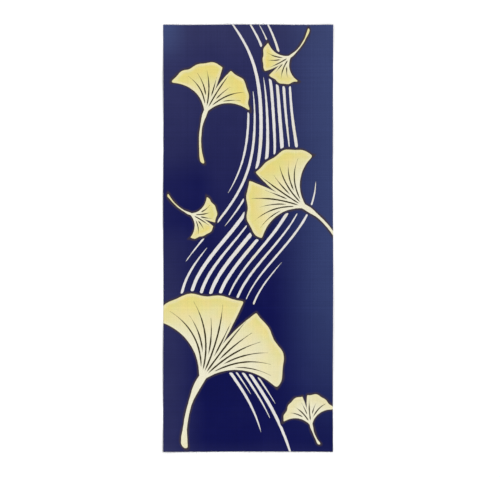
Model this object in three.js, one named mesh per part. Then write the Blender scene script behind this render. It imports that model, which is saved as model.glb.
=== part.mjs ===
// A tenugui towel: one cut length of narrow plain-weave cotton, laid out face up on a level surface.
// Its long edges are woven selvedges and its two ends are plain cuts, so it has no hems and no other pieces.
// Millimetres, +Z up. The origin is on the surface under the middle of the cloth, +Y runs along its length
// to the top end, and +X runs across it to the right-hand selvedge.
import * as THREE from "three";

const width = 358; // selvedge to selvedge
const length = 900; // cut end to cut end
const thickness = 1;
const facet = 18; // longest side of the cloth's facets
const navy = 0x1d1e55;
const clothRoughness = 0.92;

// Where the cloth stands a little off the surface. Each lift is a soft ridge that dies away to nothing,
// so that the rest of the underside is flat and carries the cloth.
//   x, y    the ridge's highest point
//   turn    the ridge's direction, in degrees anticlockwise from +X
//   reach   from the highest point to where the ridge ends, along its direction
//   spread  from the highest point to where the ridge ends, across it
//   rise    its height
const lifts = [
  { where: "right selvedge, lower curl", x: 181, y: -175, turn: 90, reach: 240, spread: 42, rise: 3.0 },
  { where: "right selvedge, upper wave", x: 183, y: 215, turn: 82, reach: 90, spread: 50, rise: 2.2 },
  { where: "left selvedge, upper wave", x: -182, y: 325, turn: 96, reach: 105, spread: 52, rise: 2.8 },
  { where: "left selvedge, middle wave", x: -184, y: 70, turn: 85, reach: 90, spread: 44, rise: 1.8 },
  { where: "left selvedge, lower wave", x: -181, y: -250, turn: 94, reach: 130, spread: 48, rise: 2.4 },
  { where: "top end, middle", x: -55, y: 454, turn: 2, reach: 120, spread: 46, rise: 2.4 },
  { where: "top right corner", x: 172, y: 446, turn: -45, reach: 84, spread: 62, rise: 3.8 },
  { where: "bottom end, middle", x: 55, y: -454, turn: -3, reach: 110, spread: 44, rise: 2.2 },
  { where: "bottom left corner", x: -176, y: -447, turn: -42, reach: 76, spread: 58, rise: 3.2 },
  { where: "upper body", x: 15, y: 245, turn: 24, reach: 150, spread: 54, rise: 1.3 },
  { where: "middle body", x: -30, y: -105, turn: -12, reach: 140, spread: 52, rise: 1.2 },
  { where: "lower body", x: 45, y: -310, turn: 18, reach: 130, spread: 50, rise: 1.1 },
];

// How far the outline wanders from its straight lines: a sine along each edge.
const wander = {
  left: { depth: 0.35, wave: 410, start: 0.6 },
  right: { depth: 0.35, wave: 470, start: 2.4 },
  top: { depth: 0.4, wave: 260, start: 1.1 },
  bottom: { depth: 0.4, wave: 310, start: 3.9 },
};

// A soft hump, 1 in the middle and 0 from a distance of 1 outwards.
function hump(distance) {
  return Math.abs(distance) < 1 ? Math.cos((Math.PI / 2) * distance) ** 2 : 0;
}

function liftedBy(x, y) {
  let height = 0;
  for (const ridge of lifts) {
    const turn = THREE.MathUtils.degToRad(ridge.turn);
    const along = (x - ridge.x) * Math.cos(turn) + (y - ridge.y) * Math.sin(turn);
    const across = (y - ridge.y) * Math.cos(turn) - (x - ridge.x) * Math.sin(turn);
    height += ridge.rise * hump(along / ridge.reach) * hump(across / ridge.spread);
  }
  return height;
}

function wanderOf(edge, along) {
  return edge.depth * Math.sin((2 * Math.PI * along) / edge.wave + edge.start);
}

// A grid of facets over both faces. Each point moves with the edge that it is nearest to, less and less
// towards the middle, and up with the cloth's lifts.
function clothGeometry() {
  const columns = Math.ceil(width / facet);
  const rows = Math.ceil(length / facet);
  const cloth = new THREE.BoxGeometry(width, length, thickness, columns, rows, 1);
  cloth.translate(0, 0, thickness / 2);
  const points = cloth.getAttribute("position");
  for (let i = 0; i < points.count; i++) {
    const [x, y, z] = [points.getX(i), points.getY(i), points.getZ(i)];
    const sideways = wanderOf(x < 0 ? wander.left : wander.right, y) * (x / (width / 2));
    const lengthways = wanderOf(y < 0 ? wander.bottom : wander.top, x) * (y / (length / 2));
    points.setXYZ(i, x + sideways, y + lengthways, z + liftedBy(x, y));
  }
  cloth.computeVertexNormals();
  return cloth;
}

function towel() {
  const dyedCotton = new THREE.MeshStandardMaterial({ color: navy, roughness: clothRoughness, metalness: 0 });
  const mesh = new THREE.Mesh(clothGeometry(), dyedCotton);
  mesh.name = "towel";
  return mesh;
}

const part = new THREE.Group();
part.add(towel());

export default part;
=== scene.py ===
"""A tenugui towel: one cut length of dyed plain-weave cotton, laid out flat and seen from straight above.

Everything is in metres, +Z up. The origin is on the surface under the middle of the cloth, +Y runs along
its length to the top end, and +X runs across it to the right-hand selvedge.
"""

import math

import bpy
import numpy as np
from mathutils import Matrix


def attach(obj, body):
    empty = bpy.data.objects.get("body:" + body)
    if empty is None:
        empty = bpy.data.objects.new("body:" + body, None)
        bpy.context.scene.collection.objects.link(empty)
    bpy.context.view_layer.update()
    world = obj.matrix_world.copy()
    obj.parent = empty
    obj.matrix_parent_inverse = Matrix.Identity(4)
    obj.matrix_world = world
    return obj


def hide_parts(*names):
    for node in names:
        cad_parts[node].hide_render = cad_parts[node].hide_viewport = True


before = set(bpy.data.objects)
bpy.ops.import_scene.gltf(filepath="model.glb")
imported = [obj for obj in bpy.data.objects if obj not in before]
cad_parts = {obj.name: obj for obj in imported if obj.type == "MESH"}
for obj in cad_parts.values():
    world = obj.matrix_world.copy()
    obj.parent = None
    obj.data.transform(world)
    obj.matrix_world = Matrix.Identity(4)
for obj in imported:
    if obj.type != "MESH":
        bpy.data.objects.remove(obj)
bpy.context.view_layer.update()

# The cloth as it was cut, and how it is woven
width = 0.358  # selvedge to selvedge
length = 0.900  # cut end to cut end
thickness = 0.00055
selvedge_band = 0.0035  # the closer-set warp along each selvedge
selvedge_extra = 0.00010  # how much thicker the cloth is there
thread_pitch = 0.00043  # from one warp thread, or weft thread, to the next
thread_radius = 0.00012
thread_rise = 0.00012  # how far a thread goes up and down over and under the others
clearance = 0.00004  # between the surface and the cloth that lies flat on it
grid = 0.0036  # from one point of the cloth's mesh to the next
inside_edge = 0.0012  # the loose threads at an edge are dyed as the cloth is this far in from it

# Where the cloth stands a little off the surface: soft ridges that die away to nothing. The columns are x
# and y of the highest point, the ridge's direction in degrees anticlockwise from +X, how far it runs from
# there along its direction and across it, and its height.
lifts = [
    (0.181, -0.175, 90, 0.240, 0.042, 0.0030),
    (0.183, 0.215, 82, 0.090, 0.050, 0.0022),
    (-0.182, 0.325, 96, 0.105, 0.052, 0.0028),
    (-0.184, 0.070, 85, 0.090, 0.044, 0.0018),
    (-0.181, -0.250, 94, 0.130, 0.048, 0.0024),
    (-0.055, 0.454, 2, 0.120, 0.046, 0.0024),
    (0.172, 0.446, -45, 0.084, 0.062, 0.0038),
    (0.055, -0.454, -3, 0.110, 0.044, 0.0022),
    (-0.176, -0.447, -42, 0.076, 0.058, 0.0032),
    (0.015, 0.245, 24, 0.150, 0.054, 0.0013),
    (-0.030, -0.105, -12, 0.140, 0.052, 0.0012),
    (0.045, -0.310, 18, 0.130, 0.050, 0.0011),
]

# How far each edge wanders from its straight line: the depth, wave length and start of a sine.
left_wander = (0.00035, 0.410, 0.6)
right_wander = (0.00035, 0.470, 2.4)
top_wander = (0.00040, 0.260, 1.1)
bottom_wander = (0.00040, 0.310, 3.9)

# The dyed pattern: ginkgo leaves. The columns are x and y of the place where the blade meets its stem, the
# blade's reach from there, and the way it points in degrees clockwise from +Y. Then, in blade reaches, the
# stem's length and bend and how far out the notch starts, and in radians the notch's lean and the start of
# the rim's waves.
leaves = [
    (-0.104, -0.306, 0.192, 29, 0.66, 0.42, 0.50, 0.06, 0.0),
    (0.126, 0.062, 0.134, -58, 0.78, -0.40, 0.56, -0.06, 1.0),
    (-0.092, 0.262, 0.108, 20, 0.88, 0.35, 0.50, 0.08, 2.2),
    (0.134, -0.398, 0.068, -14, 0.55, 0.30, 0.55, 0.00, 3.1),
    (-0.124, 0.052, 0.058, 112, 0.95, -0.35, 0.55, 0.00, 4.0),
    (0.092, 0.386, 0.064, -128, 0.95, 0.35, 0.50, 0.00, 5.0),
]

# The dyed pattern: strokes of flowing water behind the leaves. The columns are a stroke's distance from the
# middle of the stream, the place of its middle along the cloth, half its length, and its greatest width.
strokes = [
    (-0.080, 0.215, 0.120, 0.0045),
    (-0.062, 0.130, 0.180, 0.0055),
    (-0.044, 0.255, 0.230, 0.0070),
    (-0.044, -0.150, 0.130, 0.0055),
    (-0.026, 0.040, 0.300, 0.0075),
    (-0.008, 0.290, 0.190, 0.0060),
    (-0.008, -0.180, 0.230, 0.0070),
    (0.010, 0.060, 0.390, 0.0080),
    (0.028, 0.330, 0.150, 0.0055),
    (0.028, -0.110, 0.270, 0.0070),
    (0.046, 0.120, 0.270, 0.0065),
    (0.046, -0.350, 0.130, 0.0065),
    (0.064, -0.140, 0.210, 0.0055),
    (0.082, -0.010, 0.130, 0.0045),
    (0.100, -0.150, 0.100, 0.0040),
]
leaf_clearance = 0.005  # the ground left between a leaf and the water
stroke_rounding = 0.005  # of the strokes' corners there
vein_clearance = 0.004  # the leaf left between its outline and a vein
bleed = 0.00035  # how far the dye runs either side of a pattern's edge

# The ground isn't the same navy everywhere: painted glare lies over it, a greyish veil of light in some
# places and a bluish one in others. Each row is a place of painted glare: how much, which is less than 0
# where there is less of it and the navy is deeper, and the soft steps whose product shapes the place. A
# step has its axis, and where on it the step starts and is full.
glare_places = [
    (0.43, [("along", -0.20, 0.42)]),  # the upper part
    (0.16, [("along", 0.360, 0.452)]),  # the top end
    (0.10, [("along", -0.420, -0.452)]),  # the bottom end
    (0.08, [("across", -0.080, -0.178)]),  # the left side
    (0.34, [("across", -0.080, -0.178), ("along", 0.12, -0.15)]),  # the lower part of it
    # a stretch of it above the middle
    (-0.17, [("across", -0.050, -0.115), ("along", -0.025, 0.040), ("along", 0.185, 0.110)]),
]
bluish_glare_places = [
    (0.58, [("across", 0.040, 0.178), ("along", -0.50, -0.08)]),  # the right side
    (0.72, [("across", -0.115, -0.178), ("along", 0.350, 0.450)]),  # the top left corner
]

# Colours, as linear light
deep_navy = (0.0036, 0.0048, 0.0640)
# The next two are painted glare: the navy as it looks under a greyish and under a bluish veil of light
navy_under_glare = (0.0430, 0.0465, 0.1170)
navy_under_bluish_glare = (0.0460, 0.0680, 0.1750)
leaf_yellow = (0.692, 0.580, 0.178)
leaf_green = (0.648, 0.588, 0.186)
leaf_pale = (0.725, 0.695, 0.530)
undyed_cream = (0.672, 0.656, 0.634)
stained_cream = (0.672, 0.636, 0.545)
both_dyes = (0.0440, 0.0330, 0.0400)
vein_brown = (0.0340, 0.0260, 0.0080)
bare_back = (0.32, 0.33, 0.36)
floor_white = (0.94, 0.94, 0.94)

# The picture's frame
photo_width, photo_height = 500, 477  # pixels
cloth_middle = (248.14, 238.15)  # pixel over the middle of the cloth
cloth_pixels = 426.3  # the cloth's length in pixels
lens = 85
sensor = 36


def hump(distance):
    """1 in the middle, falling as a squared cosine to 0 at a distance of 1 and beyond."""
    return np.where(np.abs(distance) < 1, np.cos(np.pi / 2 * distance) ** 2, 0.0)


def lifted_by(x, y):
    """The sum of the ridges, each its height times one hump along it and one across it."""
    height = np.zeros(np.broadcast(x, y).shape)
    for ridge_x, ridge_y, turn, reach, spread, rise in lifts:
        cos, sin = math.cos(math.radians(turn)), math.sin(math.radians(turn))
        along = (x - ridge_x) * cos + (y - ridge_y) * sin
        across = (y - ridge_y) * cos - (x - ridge_x) * sin
        height += rise * hump(along / reach) * hump(across / spread)
    return height


def ripples(random, count, shortest, longest, along):
    """The sum of so many sines along a line, with seeded wave lengths between two limits and seeded
    starts."""
    waves = random.uniform(shortest, longest, count)
    starts = random.uniform(0, 2 * np.pi, count)
    return sum(np.sin(2 * np.pi * along / wave + start) for wave, start in zip(waves, starts))


def slack(x, y):
    """The cloth's own small unevenness, from 0 upwards. Its body has plane waves of seeded headings, and
    each selvedge has shorter ripples that die away from it as a bell curve. A hyperbolic tangent keeps
    both sums between -1 and 1."""
    body_rise, body_waves, body_shortest, body_longest, body_levelling = 0.00016, 18, 0.028, 0.085, 3.5
    edge_rise, edge_waves, edge_shortest, edge_longest, edge_levelling = 0.00030, 5, 0.034, 0.110, 1.6
    edge_reach = 0.016
    random = np.random.default_rng(7)
    body = 0.0
    for heading in random.uniform(0, math.pi, body_waves):
        along_heading = x * math.cos(heading) + y * math.sin(heading)
        body = body + ripples(random, 1, body_shortest, body_longest, along_heading)
    height = body_rise * (1 + np.tanh(body / body_levelling))
    for side in (-1, 1):
        from_edge = width / 2 - side * x
        edge = ripples(random, edge_waves, edge_shortest, edge_longest, y)
        edge_share = np.exp(-((from_edge / edge_reach) ** 2))
        height += edge_rise * (1 + np.tanh(edge / edge_levelling)) * edge_share
    return height


def underside(x, y):
    """The height of the cloth's underside over the surface that it lies on."""
    return clearance + lifted_by(x, y) + slack(x, y)


def laid(x, y):
    """Where a point of the flat cut lies: each moves with the edge that it is nearest to, less and less
    towards the middle."""
    def wander(edge, along):
        depth, wave, start = edge
        return depth * np.sin(2 * np.pi * along / wave + start)

    sideways = np.where(x < 0, wander(left_wander, y), wander(right_wander, y)) * (2 * x / width)
    lengthways = np.where(y < 0, wander(bottom_wander, x), wander(top_wander, x)) * (2 * y / length)
    return x + sideways, y + lengthways


def mesh_piece(name, points, faces, flat_places, is_back=None):
    """A mesh object of quads. flat_places gives each point's place on the flat cut, which the dyed pattern
    reads, and is_back is 1 on the cloth's underside."""
    mesh = bpy.data.meshes.new(name)
    mesh.vertices.add(len(points))
    mesh.vertices.foreach_set("co", np.asarray(points, np.float32).ravel())
    mesh.loops.add(faces.size)
    mesh.loops.foreach_set("vertex_index", faces.astype(np.int32).ravel())
    mesh.polygons.add(len(faces))
    mesh.polygons.foreach_set("loop_start", np.arange(0, faces.size, 4, dtype=np.int32))
    mesh.update(calc_edges=True)
    mesh.polygons.foreach_set("use_smooth", np.ones(len(faces), bool))
    place = mesh.attributes.new("laid_flat", "FLOAT_VECTOR", "POINT")
    place.data.foreach_set("vector", np.asarray(flat_places, np.float32).ravel())
    back = mesh.attributes.new("is_back", "FLOAT", "POINT")
    back.data.foreach_set("value", np.zeros(len(points), np.float32) if is_back is None else is_back)
    mesh.validate()
    piece = bpy.data.objects.new(name, mesh)
    bpy.context.scene.collection.objects.link(piece)
    return piece


def stations(span):
    """Places across a span: close together round the rounded rim and in the selvedge, then evenly spaced."""
    round_rim = np.radians([0, 35, 62, 90])
    rim = thickness / 2 * (1 - np.cos(round_rim))
    near = np.concatenate([rim, [selvedge_band / 3, selvedge_band]])
    inner_edge = span / 2 - selvedge_band - grid / 2
    inner = np.linspace(-inner_edge, inner_edge, round(2 * inner_edge / grid) + 1)
    return np.concatenate([near - span / 2, inner, span / 2 - near[::-1]])


def cloth():
    """Two grids over the flat cut, one for each face, that share their outer ring of points. The cloth's
    thickness rounds off to nothing at the rim as a half circle, and is greater along the selvedges."""
    x, y = np.meshgrid(stations(width), stations(length))
    from_side = width / 2 - np.abs(x)
    from_rim = np.minimum(from_side, length / 2 - np.abs(y))
    bead = selvedge_extra * hump((from_side - selvedge_band / 2) / selvedge_band)
    rounding = np.sqrt(1 - (1 - np.clip(from_rim / (thickness / 2), 0, 1)) ** 2)
    half = (thickness + bead) / 2
    middle = underside(x, y) + half
    laid_x, laid_y = laid(x, y)
    face = np.stack([laid_x, laid_y, middle + half * rounding], -1)
    back = np.stack([laid_x, laid_y, middle - half * rounding], -1)

    inside = np.zeros(x.shape, bool)
    inside[1:-1, 1:-1] = True
    face_index = np.arange(x.size).reshape(x.shape)
    back_index = face_index.copy()
    back_index[inside] = x.size + np.arange(inside.sum())

    def quads(index, order):
        corners = [index[:-1, :-1], index[:-1, 1:], index[1:, 1:], index[1:, :-1]]
        return np.stack(corners[::order], -1).reshape(-1, 4)

    flat = np.stack([x, y, np.zeros_like(x)], -1)
    piece = mesh_piece(
        "towel_cloth",
        np.concatenate([face.reshape(-1, 3), back[inside]]),
        np.concatenate([quads(face_index, 1), quads(back_index, -1)]),
        np.concatenate([flat.reshape(-1, 3), flat[inside]]),
        np.concatenate([np.zeros(x.size), np.ones(inside.sum())]).astype(np.float32),
    )

    # Both faces side by side on one square for the bake: the face takes the wider share
    face_share, gap = 0.68, 0.004
    v = (y / length + 0.5) * (1 - 2 * gap) + gap
    u_face = gap + (0.5 + x / width) * (face_share - 2 * gap)
    u_back = face_share + gap + (0.5 - x / width) * (1 - face_share - 2 * gap)
    on_face = np.stack([u_face, v], -1).reshape(-1, 2)[quads(face_index, 1)]
    on_back = np.stack([u_back, v], -1).reshape(-1, 2)[quads(face_index, -1)]
    unwrapped = piece.data.uv_layers.new(name="OFBake")
    unwrapped.uv.foreach_set("vector", np.concatenate([on_face, on_back]).astype(np.float32).ravel())
    return piece


def yarns(name, paths, radii, flat_places):
    """Four-sided strands with closed ends, one along each path. paths is strands by steps by 3, radii is
    strands by steps, and flat_places gives each strand's place on the flat cut. Each ring of points stands
    square to its path: one axis level and sideways, the other across both."""
    count, steps = radii.shape
    forward = np.gradient(paths, axis=1)
    forward /= np.linalg.norm(forward, axis=-1, keepdims=True)
    sideways = np.cross(forward, [0.0, 0.0, 1.0])
    sideways /= np.linalg.norm(sideways, axis=-1, keepdims=True)
    upwards = np.cross(sideways, forward)
    turn = np.radians([45, 135, 225, 315])
    ring = np.cos(turn)[:, None] * sideways[..., None, :] + np.sin(turn)[:, None] * upwards[..., None, :]
    points = paths[..., None, :] + radii[..., None, None] * ring
    index = np.arange(count * steps * 4).reshape(count, steps, 4)
    around = np.roll(index, -1, axis=2)
    walls = np.stack([index[:, :-1], index[:, 1:], around[:, 1:], around[:, :-1]], -1).reshape(-1, 4)
    faces = np.concatenate([walls, index[:, 0, :], index[:, -1, ::-1]])
    places = np.repeat(np.asarray(flat_places)[:, None, :], steps * 4, axis=1)
    return mesh_piece(name, points.reshape(-1, 3), faces, places.reshape(-1, 3))


def cut_end(name, end, seed):
    """The warp threads that stand out of one cut end; end is 1 at the top and -1 at the bottom. Most stand
    out by about a millimetre, and a few strays by more. Each goes straight out, sways sideways by a
    parabola and half a sine of seeded strengths, sinks towards the surface and thins to its tip."""
    held, steps = 0.0006, 7
    least_out, usual_shape, usual_scale = 0.0004, 5.0, 0.00018
    stray_share, stray_shortest, stray_longest = 0.03, 0.0020, 0.0045
    usual_drift, stray_drift, usual_curl, stray_curl = 0.16, 0.34, 0.10, 0.27
    thinnest, thickest = 0.92, 1.17
    at_root, fuller, thinned = 0.92, 0.16, 0.40
    tip_height, most_sunk = 0.00014, 0.00035
    random = np.random.default_rng(seed)
    count = round(width / thread_pitch) - 2
    x = (np.arange(count) - (count - 1) / 2) * thread_pitch
    root = np.full(count, end * (length / 2 - held))
    stray = random.random(count) < stray_share
    stands_out = random.gamma(usual_shape, usual_scale, count) + least_out
    stands_out = np.where(stray, random.uniform(stray_shortest, stray_longest, count), stands_out)
    drift = random.normal(0, np.where(stray, stray_drift, usual_drift))
    curl = random.normal(0, np.where(stray, stray_curl, usual_curl))

    t = np.linspace(0, 1, steps)
    laid_x, laid_y = laid(x, root)
    run = (held + stands_out)[:, None] * t
    sway = stands_out[:, None] * (drift[:, None] * t**2 + curl[:, None] * np.sin(np.pi * t))
    start_height = underside(x, root) + thickness / 2
    sunk = np.minimum(start_height - tip_height, most_sunk)[:, None] * t**1.5
    paths = np.stack([laid_x[:, None] + sway, laid_y[:, None] + end * run, start_height[:, None] - sunk], -1)
    swelling = at_root + fuller * t - thinned * t**6
    radii = thread_radius * random.uniform(thinnest, thickest, count)[:, None] * swelling
    places = np.stack([x, np.full(count, end * (length / 2 - inside_edge)), np.zeros(count)], -1)
    return yarns(name, paths, radii, places)


def last_weft(name, end, seed):
    """The outermost weft thread at one cut end, loosened by the cut: it passes over and under the warp
    threads as a sine, and strays outwards a little from the edge by a sum of longer ones."""
    strays, waves, shortest, longest = 0.00014, 4, 0.018, 0.090
    random = np.random.default_rng(seed)
    crossings = round(width / thread_pitch) - 6
    step = np.arange(2 * crossings)
    x = (step - step.mean()) * thread_pitch / 2
    edge = np.full(x.shape, end * length / 2)
    laid_x, laid_y = laid(x, edge)
    outwards = strays * (1 + ripples(random, waves, shortest, longest, x) / waves)
    height = underside(x, edge) + thickness / 2 + thread_rise * np.sin(np.pi / 2 * step)
    paths = np.stack([laid_x, laid_y + end * outwards, height], -1)[None]
    radii = np.full((1, len(x)), thread_radius)
    return yarns(name, paths, radii, [[0.0, end * (length / 2 - inside_edge), 0.0]])


def selvedge(name, side, seed):
    """The turns of the weft along one selvedge; side is 1 at the right and -1 at the left. Each turn comes
    out over the last warp thread, goes round it as a half circle and back under it one pick further on."""
    starts_in, steps = 0.00022, 7
    shortest, longest, thinner = 1.0, 1.6, 0.9
    random = np.random.default_rng(seed)
    count = round(length / thread_pitch / 2) - 2
    y = (np.arange(count) - (count - 1) / 2) * 2 * thread_pitch
    x = np.full(count, side * (width / 2 - starts_in))
    reach = starts_in * random.uniform(shortest, longest, count)
    t = np.linspace(0, np.pi, steps)
    laid_x, laid_y = laid(x, y)
    middle = underside(x, y) + (thickness + selvedge_extra) / 2
    paths = np.stack([
        laid_x[:, None] + side * reach[:, None] * np.sin(t),
        laid_y[:, None] + thread_pitch / 2 * (1 - np.cos(t)),
        middle[:, None] + thread_rise * np.cos(t),
    ], -1)
    radii = np.full((count, steps), thread_radius * thinner)
    places = np.stack([x - side * inside_edge / 2, y, np.zeros(count)], -1)
    return yarns(name, paths, radii, places)


class Level:
    """A number, colour or vector that varies over a surface: a node's output, ready for arithmetic."""

    def __init__(self, finish, socket):
        self.finish = finish
        self.socket = socket

    def __add__(self, other):
        return self.finish.maths("ADD", self, other)

    def __sub__(self, other):
        return self.finish.maths("SUBTRACT", self, other)

    def __rsub__(self, other):
        return self.finish.maths("SUBTRACT", other, self)

    def __mul__(self, other):
        return self.finish.maths("MULTIPLY", self, other)

    def __truediv__(self, other):
        return self.finish.maths("DIVIDE", self, other)

    def __rtruediv__(self, other):
        return self.finish.maths("DIVIDE", other, self)

    def __pow__(self, other):
        return self.finish.maths("POWER", self, other)

    def __neg__(self):
        return self.finish.maths("MULTIPLY", self, -1)

    def __abs__(self):
        return self.finish.maths("ABSOLUTE", self)

    def __lt__(self, other):
        return self.finish.maths("LESS_THAN", self, other)

    def __gt__(self, other):
        return self.finish.maths("GREATER_THAN", self, other)

    __radd__ = __add__
    __rmul__ = __mul__


class Finish:
    """One material and the nodes that make it."""

    def __init__(self, name):
        self.material = bpy.data.materials.new(name)
        self.material.use_nodes = True
        self.tree = self.material.node_tree
        self.tree.nodes.clear()

    def node(self, kind, settings=None, inputs=None, output=0):
        """A node of any type: its settings are set first, then its sockets, and one output comes back."""
        made = self.tree.nodes.new("ShaderNode" + kind)
        for setting, value in (settings or {}).items():
            setattr(made, setting, value)
        for socket, value in (inputs or {}).items():
            if isinstance(value, Level):
                self.tree.links.new(value.socket, made.inputs[socket])
            else:
                made.inputs[socket].default_value = value
        return Level(self, made.outputs[output])

    def maths(self, operation, *values):
        return self.node("Math", {"operation": operation}, dict(enumerate(values)))

    def sine(self, angle):
        return self.maths("SINE", angle)

    def cosine(self, angle):
        return self.maths("COSINE", angle)

    def root(self, value):
        return self.maths("SQRT", value)

    def whole(self, value):
        return self.maths("FLOOR", value)

    def least(self, first, *others):
        for other in others:
            first = self.maths("MINIMUM", first, other)
        return first

    def most(self, first, *others):
        for other in others:
            first = self.maths("MAXIMUM", first, other)
        return first

    def rounded_least(self, first, second, rounding):
        return self.maths("SMOOTH_MIN", first, second, rounding)

    def rounded_most(self, first, second, rounding):
        return self.maths("SMOOTH_MAX", first, second, rounding)

    def smooth(self, low, high, value):
        """0 at low and beyond, 1 at high and beyond, with a soft step between them."""
        inputs = {"Value": value, "From Min": low, "From Max": high}
        return self.node("MapRange", {"interpolation_type": "SMOOTHSTEP"}, inputs)

    def vector(self, x, y, z=0.0):
        return self.node("CombineXYZ", inputs={0: x, 1: y, 2: z})

    def parts(self, vector):
        """A vector's x, y and z."""
        split = self.node("SeparateXYZ", inputs={0: vector}).socket.node
        return [Level(self, output) for output in split.outputs]

    def pick(self, choice, otherwise, chosen):
        return self.node("Mix", inputs={0: choice, 2: otherwise, 3: chosen})

    def pick_vector(self, choice, otherwise, chosen):
        return self.node("Mix", {"data_type": "VECTOR"}, {0: choice, 4: otherwise, 5: chosen}, 1)

    def blend(self, share, first, second):
        """One colour turning into another."""
        colours = [colour if isinstance(colour, Level) else (*colour, 1.0) for colour in (first, second)]
        return self.node("Mix", {"data_type": "RGBA"}, {0: share, 6: colours[0], 7: colours[1]}, 2)

    def scaled(self, colour, amount):
        return self.node("VectorMath", {"operation": "SCALE"}, {0: colour, "Scale": amount})

    def noise(self, place, scale, detail=2.0, roughness=0.5):
        """Soft noise about 0, from -0.5 to 0.5."""
        inputs = {"Vector": place, "Scale": scale, "Detail": detail, "Roughness": roughness}
        return self.node("TexNoise", inputs=inputs) - 0.5

    def speckle(self, number):
        """A different amount for each whole number, from -0.5 to 0.5."""
        return self.node("TexWhiteNoise", {"noise_dimensions": "1D"}, {"W": number}) - 0.5

    def surface(self, inputs):
        """Ends the material in its shader, and gives it back. The inputs go by the names of the
        shader's sockets."""
        shader = self.node("BsdfPrincipled", inputs=inputs)
        output = self.tree.nodes.new("ShaderNodeOutputMaterial")
        self.tree.links.new(shader.socket, output.inputs["Surface"])
        return self.material


def nearest_leaf(finish, place):
    """Each leaf has its own axes, in blade reaches, from the top of its stem. A place belongs to the leaf
    whose blade is the nearest by that measure. Gives its place on that leaf's axes and the leaf's traits."""
    blade_middle = (0.0, 0.3, 0.0)
    local, nearest, size_and_stem, notch_and_wave = None, None, None, None
    for x, y, reach, turn, stem, bend, notch, lean, wave in leaves:
        inputs = {
            "Vector": place,
            "Location": (x, y, 0),
            "Rotation": (0, 0, -math.radians(turn)),
            "Scale": (reach, reach, 1),
        }
        on_this = finish.node("Mapping", {"vector_type": "TEXTURE"}, inputs)
        away = finish.node("VectorMath", {"operation": "DISTANCE"}, {0: on_this, 1: blade_middle}, "Value")
        first, second = (reach, stem, bend), (notch, lean, wave)
        if local is None:
            local, nearest, size_and_stem, notch_and_wave = on_this, away, first, second
            continue
        nearer = away < nearest
        local = finish.pick_vector(nearer, local, on_this)
        size_and_stem = finish.pick_vector(nearer, size_and_stem, first)
        notch_and_wave = finish.pick_vector(nearer, notch_and_wave, second)
        nearest = finish.least(nearest, away)
    return local, finish.parts(size_and_stem), finish.parts(notch_and_wave)


def leaf_blade(finish, r, angle, opening, notch, lean, wave):
    """How far a place is past a blade's rim, past its sides and into its notch, in blade reaches. The rim is
    an arc that bows out in the middle, with a long and a short ripple on it. The notch is a wedge that
    leans, and more so further out."""
    bow, notch_slant, notch_turn, notch_upright = 0.13, 5.5, 0.10, 0.7
    widest, least_radius = 0.8, 0.05
    long_depth, long_waves, long_start = 0.020, 8, 1.3
    short_depth, short_waves, short_start = 0.011, 19, 0.4
    share = angle / opening
    long_ripple = long_depth * finish.sine(long_waves * angle + wave + long_start)
    short_ripple = short_depth * finish.sine(short_waves * angle + 2 * wave + short_start)
    past_rim = r - (1 - bow * share * share + (long_ripple + short_ripple))
    past_side = (abs(angle) - opening) * finish.least(r, widest)
    into_notch = r - notch - notch_slant * abs(angle - lean - notch_turn * (r - notch_upright))
    into_notch = into_notch / finish.root(1 + (notch_slant / finish.most(r, least_radius)) ** 2)
    return past_rim, past_side, into_notch


def leaf_stem(finish, sideways, down, stem, bend):
    """How far a place is past a stem's outline, in blade reaches. The stem is a parabola with rounded ends,
    wider where it joins the blade and at its foot."""
    half_width, in_blade = 0.020, 0.10
    foot_extra, foot_from = 0.016, 0.70
    shoulder_extra, shoulder_to = 0.020, 0.25
    from_middle = abs(sideways - bend * down * down) / finish.root(1 + (2 * bend * down) ** 2)
    past_end = finish.most(down - stem, -in_blade - down, 0)
    foot = foot_extra * finish.smooth(foot_from, 1.0, down / stem)
    shoulder = shoulder_extra * finish.smooth(shoulder_to, 0.0, down)
    return finish.root(from_middle * from_middle + past_end * past_end) - (half_width + foot + shoulder)


def leaf_veins(finish, r, angle, opening, reach, lean, wave):
    """How far a place is past a vein's outline, in blade reaches. The veins are rays of the fan either side
    of the notch, more of them on a larger leaf, and none along the blade's sides. Every second one starts
    further out, and all thin to their tips."""
    fewest, more_on_larger = 1.9, 23.5
    first_start, off_stem, second_later = 0.10, 0.0055, 0.20
    first_end, ends_vary, second_sooner = 0.86, 0.05, 0.08
    thinnest, thicker_on_larger, thinned_at_tip = 0.0026, 0.0080, 0.70
    before_start, past_start, tip_length = 0.02, 0.10, 0.30
    rays = finish.whole(fewest + more_on_larger * reach)
    spacing = opening / (rays + 0.5)
    count = (angle - lean) / spacing
    number = finish.whole(count)
    off_ray = abs(count - number - 0.5) * spacing * r
    past_last_ray = abs(number + 0.5) - rays
    second = finish.maths("MODULO", abs(number), 2)
    start = first_start + off_stem / reach + second_later * second
    end = first_end + ends_vary * finish.sine(number * 2.6 + wave) - second_sooner * second
    vein_width = thinnest + thicker_on_larger * reach
    swelling = finish.smooth(start - before_start, start + past_start, r)
    thinning = 1 - thinned_at_tip * finish.smooth(end - tip_length, end, r)
    half_width = swelling * thinning * vein_width / (2 * reach)
    return finish.most(off_ray - half_width, start - r, r - end, past_last_ray)


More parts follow.
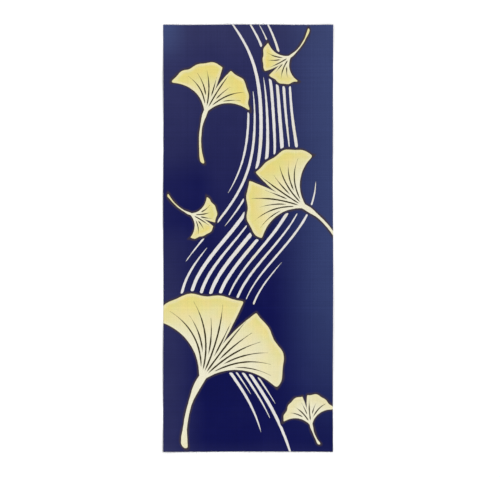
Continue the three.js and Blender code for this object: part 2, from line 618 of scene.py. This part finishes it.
def ginkgo_leaves(finish, place):
    """The distances from a place to the leaves' outline, to their outline without the notch, and to the
    dark veins, all less than 0 inside; the distance to a leaf that it is outside of, which is truer beyond
    the pointed tips; and how far out along the blade it is, in blade reaches. A blade is a fan that opens
    wider with the distance from its stem."""
    narrowest, widening, curving = 0.42, 0.86, 1.25
    corner, tip, where_stem_joins = 0.07, 0.03, 0.30
    local, (reach, stem, bend), (notch, lean, wave) = nearest_leaf(finish, place)
    sideways, up, _ = finish.parts(local)
    r = finish.root(sideways * sideways + up * up)
    angle = finish.maths("ARCTAN2", sideways, up)
    opening = narrowest + widening * r**curving
    past_rim, past_side, into_notch = leaf_blade(finish, r, angle, opening, notch, lean, wave)
    past_stem = leaf_stem(finish, sideways, -up, stem, bend)

    whole_blade = finish.rounded_most(past_rim, past_side, corner)
    blade = finish.rounded_most(finish.rounded_most(past_rim, into_notch, tip), past_side, corner)
    leaf = finish.least(blade, past_stem) * reach
    whole_leaf = finish.rounded_least(whole_blade, past_stem, where_stem_joins) * reach

    past_vein = leaf_veins(finish, r, angle, opening, reach, lean, wave)
    near_outline = whole_blade + vein_clearance / reach
    vein = finish.rounded_most(past_vein, near_outline, tip) * reach

    past_blade = [finish.most(past, 0) ** 2 for past in (past_rim, past_side, into_notch)]
    outside = finish.least(finish.root(past_blade[0] + past_blade[1] + past_blade[2]), past_stem) * reach
    return leaf, whole_leaf, vein, outside, r


def flowing_water(finish, across, along):
    """The distance from a place to the water's strokes. They run beside the line of a stream, which is the
    sum of a long and a shorter sine along the cloth, and spread and close up again as they go. A stroke's
    width falls from its middle to its ends as a power of a parabola."""
    half_turn = math.pi / (length / 2)
    long_swing, long_turn, long_middle = 0.078, 1.12 * half_turn, 0.040
    short_swing, short_turn, short_start = 0.018, 2.3 * half_turn, 0.6
    spreading, spread_turn, spread_middle = 0.28, 1.5 * half_turn, -0.160
    bluntness, past_ends = 0.55, 0.05
    long_angle = (along - long_middle) * long_turn
    short_angle = along * short_turn + short_start
    stream = long_swing * finish.sine(long_angle) + short_swing * finish.sine(short_angle)
    long_slope = long_swing * long_turn * finish.cosine(long_angle)
    short_slope = short_swing * short_turn * finish.cosine(short_angle)
    steepness = finish.root(1 + (long_slope + short_slope) ** 2)
    spread = 1 + spreading * finish.sine((along - spread_middle) * spread_turn)
    from_stream = across - stream
    water = 1.0
    for offset, middle, half_length, stroke_width in strokes:
        fullness = 1 - ((along - middle) / half_length) ** 2
        half_width = stroke_width / 2 * finish.most(fullness, 0) ** bluntness
        from_middle = abs(from_stream - offset * spread) / steepness
        past_stroke = from_middle - half_width + (fullness < 0) * past_ends
        water = finish.least(water, past_stroke)
    return water


def plain_weave(finish, place, across, along):
    """Which thread lies on top goes by the sign of a product of two sines, one wave to two threads each
    way. A thread is round across itself, and arches from where it comes up to where it goes down. Each
    has its own tone. Gives the tone, the rise of the threads and of their slubs, the thick places that run
    along them, and the rise of the fibres, which lie aslant along the thread on top."""
    wavering, waver_scale, roundness, lowest_arch = 0.35, 260, 0.6, 0.6
    slub_fineness, slub_shortness, weft_slub_start = 1500, 14, 9
    slub_from, slub_full = 0.13, 0.22
    fibre_fineness, fibre_slant, fibre_shortness = 13000, 5000, 1800
    first_weft_number = 5000
    waver = wavering * finish.noise(place, waver_scale, 1)
    warp = across / thread_pitch + waver
    weft = along / thread_pitch - waver
    warp_wave, weft_wave = finish.sine(warp * math.pi), finish.sine(weft * math.pi)
    warp_on_top = warp_wave * weft_wave > 0
    over_warp, over_weft = abs(warp_wave), abs(weft_wave)
    warp_crown = over_warp**roundness * (lowest_arch + (1 - lowest_arch) * over_weft)
    weft_crown = over_weft**roundness * (lowest_arch + (1 - lowest_arch) * over_warp)
    crown = finish.pick(warp_on_top, weft_crown, warp_crown)
    warp_tone = finish.speckle(finish.whole(warp))
    weft_tone = finish.speckle(finish.whole(weft) + first_weft_number)
    tone = finish.pick(warp_on_top, weft_tone, warp_tone)

    def slubs(x, y):
        return finish.smooth(slub_from, slub_full, finish.noise(finish.vector(x, y), 1, 1))

    def aslant(over_thread, along_thread):
        slanting = over_thread * fibre_fineness + along_thread * fibre_slant
        return finish.vector(slanting, along_thread * fibre_shortness)

    warp_slubs = slubs(across * slub_fineness, along * slub_shortness)
    weft_slubs = slubs(across * slub_shortness + weft_slub_start, along * slub_fineness)
    fibre_place = finish.pick_vector(warp_on_top, aslant(along, across), aslant(across, along))
    fibres = finish.noise(fibre_place, 1, 1)
    return tone, crown, finish.most(warp_slubs, weft_slubs), fibres


def navy_ground(finish, place, across, along):
    """The ground's colour: deepest low in the middle, under painted glare, a greyish veil of light, towards
    the ends and the left selvedge but for a deeper stretch of it above the middle, under a bluish painted
    glare along the right one and in the top left corner, and clouded."""
    glare_cloudiness, darker_clouds = 0.20, 0.22
    axes = {"across": across, "along": along}

    def shares(places):
        for strength, steps in places:
            share = strength
            for axis, start, full in steps:
                share = share * finish.smooth(start, full, axes[axis])
            yield share

    clouds = finish.noise(place, 9, 3, 0.55)
    # Painted glare: the navy is blended towards its look under a greyish and a bluish veil of light
    glare_and_clouds = sum(shares(glare_places)) + glare_cloudiness * clouds
    ground = finish.blend(glare_and_clouds, deep_navy, navy_under_glare)
    ground = finish.blend(finish.most(*shares(bluish_glare_places)), ground, navy_under_bluish_glare)
    return finish.scaled(ground, 1 + darker_clouds * clouds)


def resist_pattern(finish, place, across, along, tone):
    """The distances from a place to the leaves, their veins and the water, less than 0 inside, and the last
    two measures of ginkgo_leaves(). The hand-cut resist wavers a little, and the dye creeps along single
    threads past its edge."""
    wavering, creeping = 0.0013, 0.00030
    cut_waver = wavering * finish.noise(place, 80, 3)
    creep = creeping * tone
    leaf, whole_leaf, vein, outside, out_along_blade = ginkgo_leaves(finish, place)
    leaf = leaf + cut_waver + creep
    vein = vein + cut_waver - creep
    water = flowing_water(finish, across, along) + cut_waver
    water = finish.rounded_most(water, leaf_clearance - whole_leaf, stroke_rounding) + creep
    return leaf, vein, water, outside, out_along_blade


def ground_colour(finish, place, across, along, leaf, water, outside, uneven):
    """The navy, darker just beside the resist, and browner beside the leaves, where both dyes met."""
    darker, browner = 0.16, 0.85
    beside = finish.smooth(0.0022, 0.0002, finish.least(leaf, water))
    beside_leaf = finish.smooth(0.0060, 0.0018, outside + uneven)
    ground = finish.scaled(navy_ground(finish, place, across, along), 1 - darker * beside)
    return finish.blend(browner * beside_leaf, ground, both_dyes)


def leaf_colour(finish, place, across, along, leaf, out_along_blade, uneven, patchy):
    """Pale by the stem and yellow further out, weaker to the lower right of the cloth, here and there a
    little greener, and paler again just inside the outline, where the dye ran short."""
    weaker, patchiness, paler, patch_depth = 0.35, 0.40, 0.42, 0.08
    weaker_dye = weaker * finish.smooth(-0.35, 0.45, across - along)
    yellowness = finish.smooth(0.10, 0.92, out_along_blade + patchiness * patchy - weaker_dye)
    pale_rim = finish.smooth(-0.0090, -0.0022, leaf + uneven)
    greener = finish.smooth(-0.16, 0.16, finish.noise(place, 34, 2))
    yellow = finish.blend(greener, leaf_yellow, leaf_green)
    colour = finish.blend(yellowness * (1 - paler * pale_rim), leaf_pale, yellow)
    return finish.scaled(colour, 1 + patch_depth * patchy)


def water_colour(finish, place, patchy):
    """Cream, stained a little here and there."""
    patch_depth = 0.16
    stained = finish.smooth(0.00, 0.18, finish.noise(place, 14, 2))
    return finish.scaled(finish.blend(stained, undyed_cream, stained_cream), 1 + patch_depth * patchy)


def woven_relief(finish, place, across, crown, slubs, fibres):
    """Rounded threads, the warp alone in the selvedges, slubs, fibres, and the soft cloth's puckers."""
    thread_height, slub_height, fibre_height, pucker_height = 0.000065, 0.000030, 0.000016, 0.00010
    ribbing, strength = 0.7, 0.8
    band = width / 2 - selvedge_band
    in_selvedge = finish.smooth(band, band + thread_pitch, abs(across))
    ribs = abs(finish.sine(across * (2 * math.pi / thread_pitch)))
    threads = finish.pick(ribbing * in_selvedge, crown, ribs)
    puckers = finish.noise(place, 150, 2)
    height = thread_height * threads + slub_height * slubs + fibre_height * fibres + pucker_height * puckers
    return finish.node("Bump", inputs={"Strength": strength, "Distance": 1.0, "Height": height})


def dyed_cotton():
    """Plain-weave cotton with a resist-dyed pattern: navy ground, yellow leaves and undyed water lines."""
    finish = Finish("dyed_cotton")
    place = finish.node("Attribute", {"attribute_name": "laid_flat"}, output="Vector")
    back = finish.node("Attribute", {"attribute_name": "is_back"}, output="Fac")
    across, along, _ = finish.parts(place)
    tone, crown, slubs, fibres = plain_weave(finish, place, across, along)
    leaf, vein, water, outside, out_along_blade = resist_pattern(finish, place, across, along, tone)
    in_leaf = finish.smooth(bleed, -bleed, leaf)
    in_vein = finish.smooth(0.0, -2 * bleed, vein) * in_leaf
    in_water = finish.smooth(bleed, -bleed, water)

    unevenness = 0.0045
    uneven = unevenness * finish.noise(place, 60, 2)
    patchy = finish.noise(place, 22, 3)
    ground = ground_colour(finish, place, across, along, leaf, water, outside, uneven)
    dyed_leaf = leaf_colour(finish, place, across, along, leaf, out_along_blade, uneven, patchy)
    colour = finish.blend(in_water, ground, water_colour(finish, place, patchy))
    colour = finish.blend(in_leaf, colour, dyed_leaf)
    colour = finish.blend(in_vein, colour, vein_brown)

    # Threads differ in tone, less so where they are pale, and painted shade darkens the gaps between them
    # while the crowns of the threads are painted a little lighter. The back is a little paler
    ground_tone, less_if_pale, slub_tone, paler_back = 0.30, 0.18, 0.10, 0.10
    gap_painted_shade, mean_crown = 0.34, 0.62
    tone_depth = ground_tone - less_if_pale * finish.most(in_water, in_leaf)
    # Thread tone and slubs, with painted shade in the gaps between threads and painted light on their crowns
    tone_and_gap_shade = 1 + tone_depth * tone + slub_tone * slubs + gap_painted_shade * (crown - mean_crown)
    colour = finish.scaled(colour, tone_and_gap_shade)
    colour = finish.blend(back, colour, finish.blend(paler_back, colour, bare_back))
    return finish.surface({
        "Base Color": colour,
        "Roughness": 0.92 + 0.06 * tone,
        "Specular IOR Level": 0.03,
        "Sheen Weight": 0.06,
        "Sheen Roughness": 0.5,
        "Normal": woven_relief(finish, place, across, crown, slubs, fibres),
    })


def pale_floor():
    """A smooth pale floor, much larger than the picture."""
    half = 15.0
    finish = Finish("pale_floor")
    place = finish.node("TexCoord", output="Object")
    colour = finish.scaled(floor_white, 1 + 0.01 * finish.noise(place, 3))
    corners = [(-half, -half, 0), (half, -half, 0), (half, half, 0), (-half, half, 0)]
    mesh = bpy.data.meshes.new("floor")
    mesh.from_pydata(corners, [], [(0, 1, 2, 3)])
    mesh.materials.append(finish.surface({"Base Color": colour, "Roughness": 0.9, "Specular IOR Level": 0.1}))
    floor = bpy.data.objects.new("floor", mesh)
    bpy.context.scene.collection.objects.link(floor)


def soft_light(name, place, breadth, strength):
    """A far-off soft light that shines on the cloth from the side of a place; breadth is in degrees."""
    light = bpy.data.lights.new(name, "SUN")
    light.angle = math.radians(breadth)
    light.energy = strength
    lamp = bpy.data.objects.new(name, light)
    lamp.location = place
    lamp.rotation_mode = "QUATERNION"
    lamp.rotation_quaternion = (-lamp.location).to_track_quat("-Z", "Y")
    bpy.context.scene.collection.objects.link(lamp)


def studio():
    """A pale room, brighter low down than overhead, and two broad soft lights: the stronger comes from the
    right of the cloth's top end, and the fainter from the other side."""
    at_floor, overhead, overhead_from = 0.82, 0.50, 0.45
    world = bpy.data.worlds.new("pale_room")
    world.use_nodes = True
    nodes, links = world.node_tree.nodes, world.node_tree.links
    direction = nodes.new("ShaderNodeTexCoord")
    height = nodes.new("ShaderNodeSeparateXYZ")
    strength = nodes.new("ShaderNodeMapRange")
    strength.interpolation_type = "SMOOTHSTEP"
    levels = {"From Min": 0.0, "From Max": overhead_from, "To Min": at_floor, "To Max": overhead}
    for socket, value in levels.items():
        strength.inputs[socket].default_value = value
    links.new(direction.outputs["Generated"], height.inputs[0])
    links.new(height.outputs["Z"], strength.inputs["Value"])
    links.new(strength.outputs[0], nodes["Background"].inputs["Strength"])
    nodes["Background"].inputs["Color"].default_value = (1.0, 1.0, 1.0, 1.0)
    bpy.context.scene.world = world
    soft_light("key_light", (2.4, 1.8, 3.6), 34, 1.85)
    soft_light("fill_light", (-2.6, -1.2, 3.4), 60, 0.75)
    bpy.context.scene.view_settings.view_transform = "Standard"


def camera():
    """Straight above the cloth, at the height that gives it its length in the picture, and a little to
    the side, so that the cloth lies where it does there."""
    metres_a_pixel = length / cloth_pixels
    data = bpy.data.cameras.new("camera")
    data.lens = lens
    data.sensor_width = sensor
    made = bpy.data.objects.new("camera", data)
    made.location = (
        (photo_width / 2 - cloth_middle[0]) * metres_a_pixel,
        (cloth_middle[1] - photo_height / 2) * metres_a_pixel,
        photo_width * metres_a_pixel * lens / sensor,
    )
    bpy.context.scene.collection.objects.link(made)
    bpy.context.scene.camera = made


camera()
studio()
pale_floor()

towel_cloth = cloth()
edges = [
    cut_end("top_cut_threads", 1, 11),
    cut_end("bottom_cut_threads", -1, 12),
    last_weft("top_last_weft", 1, 15),
    last_weft("bottom_last_weft", -1, 16),
    selvedge("left_selvedge_turns", -1, 13),
    selvedge("right_selvedge_turns", 1, 14),
]
cotton = dyed_cotton()
for piece in [towel_cloth, *edges]:
    piece.data.materials.append(cotton)
    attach(piece, "root")
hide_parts("towel")
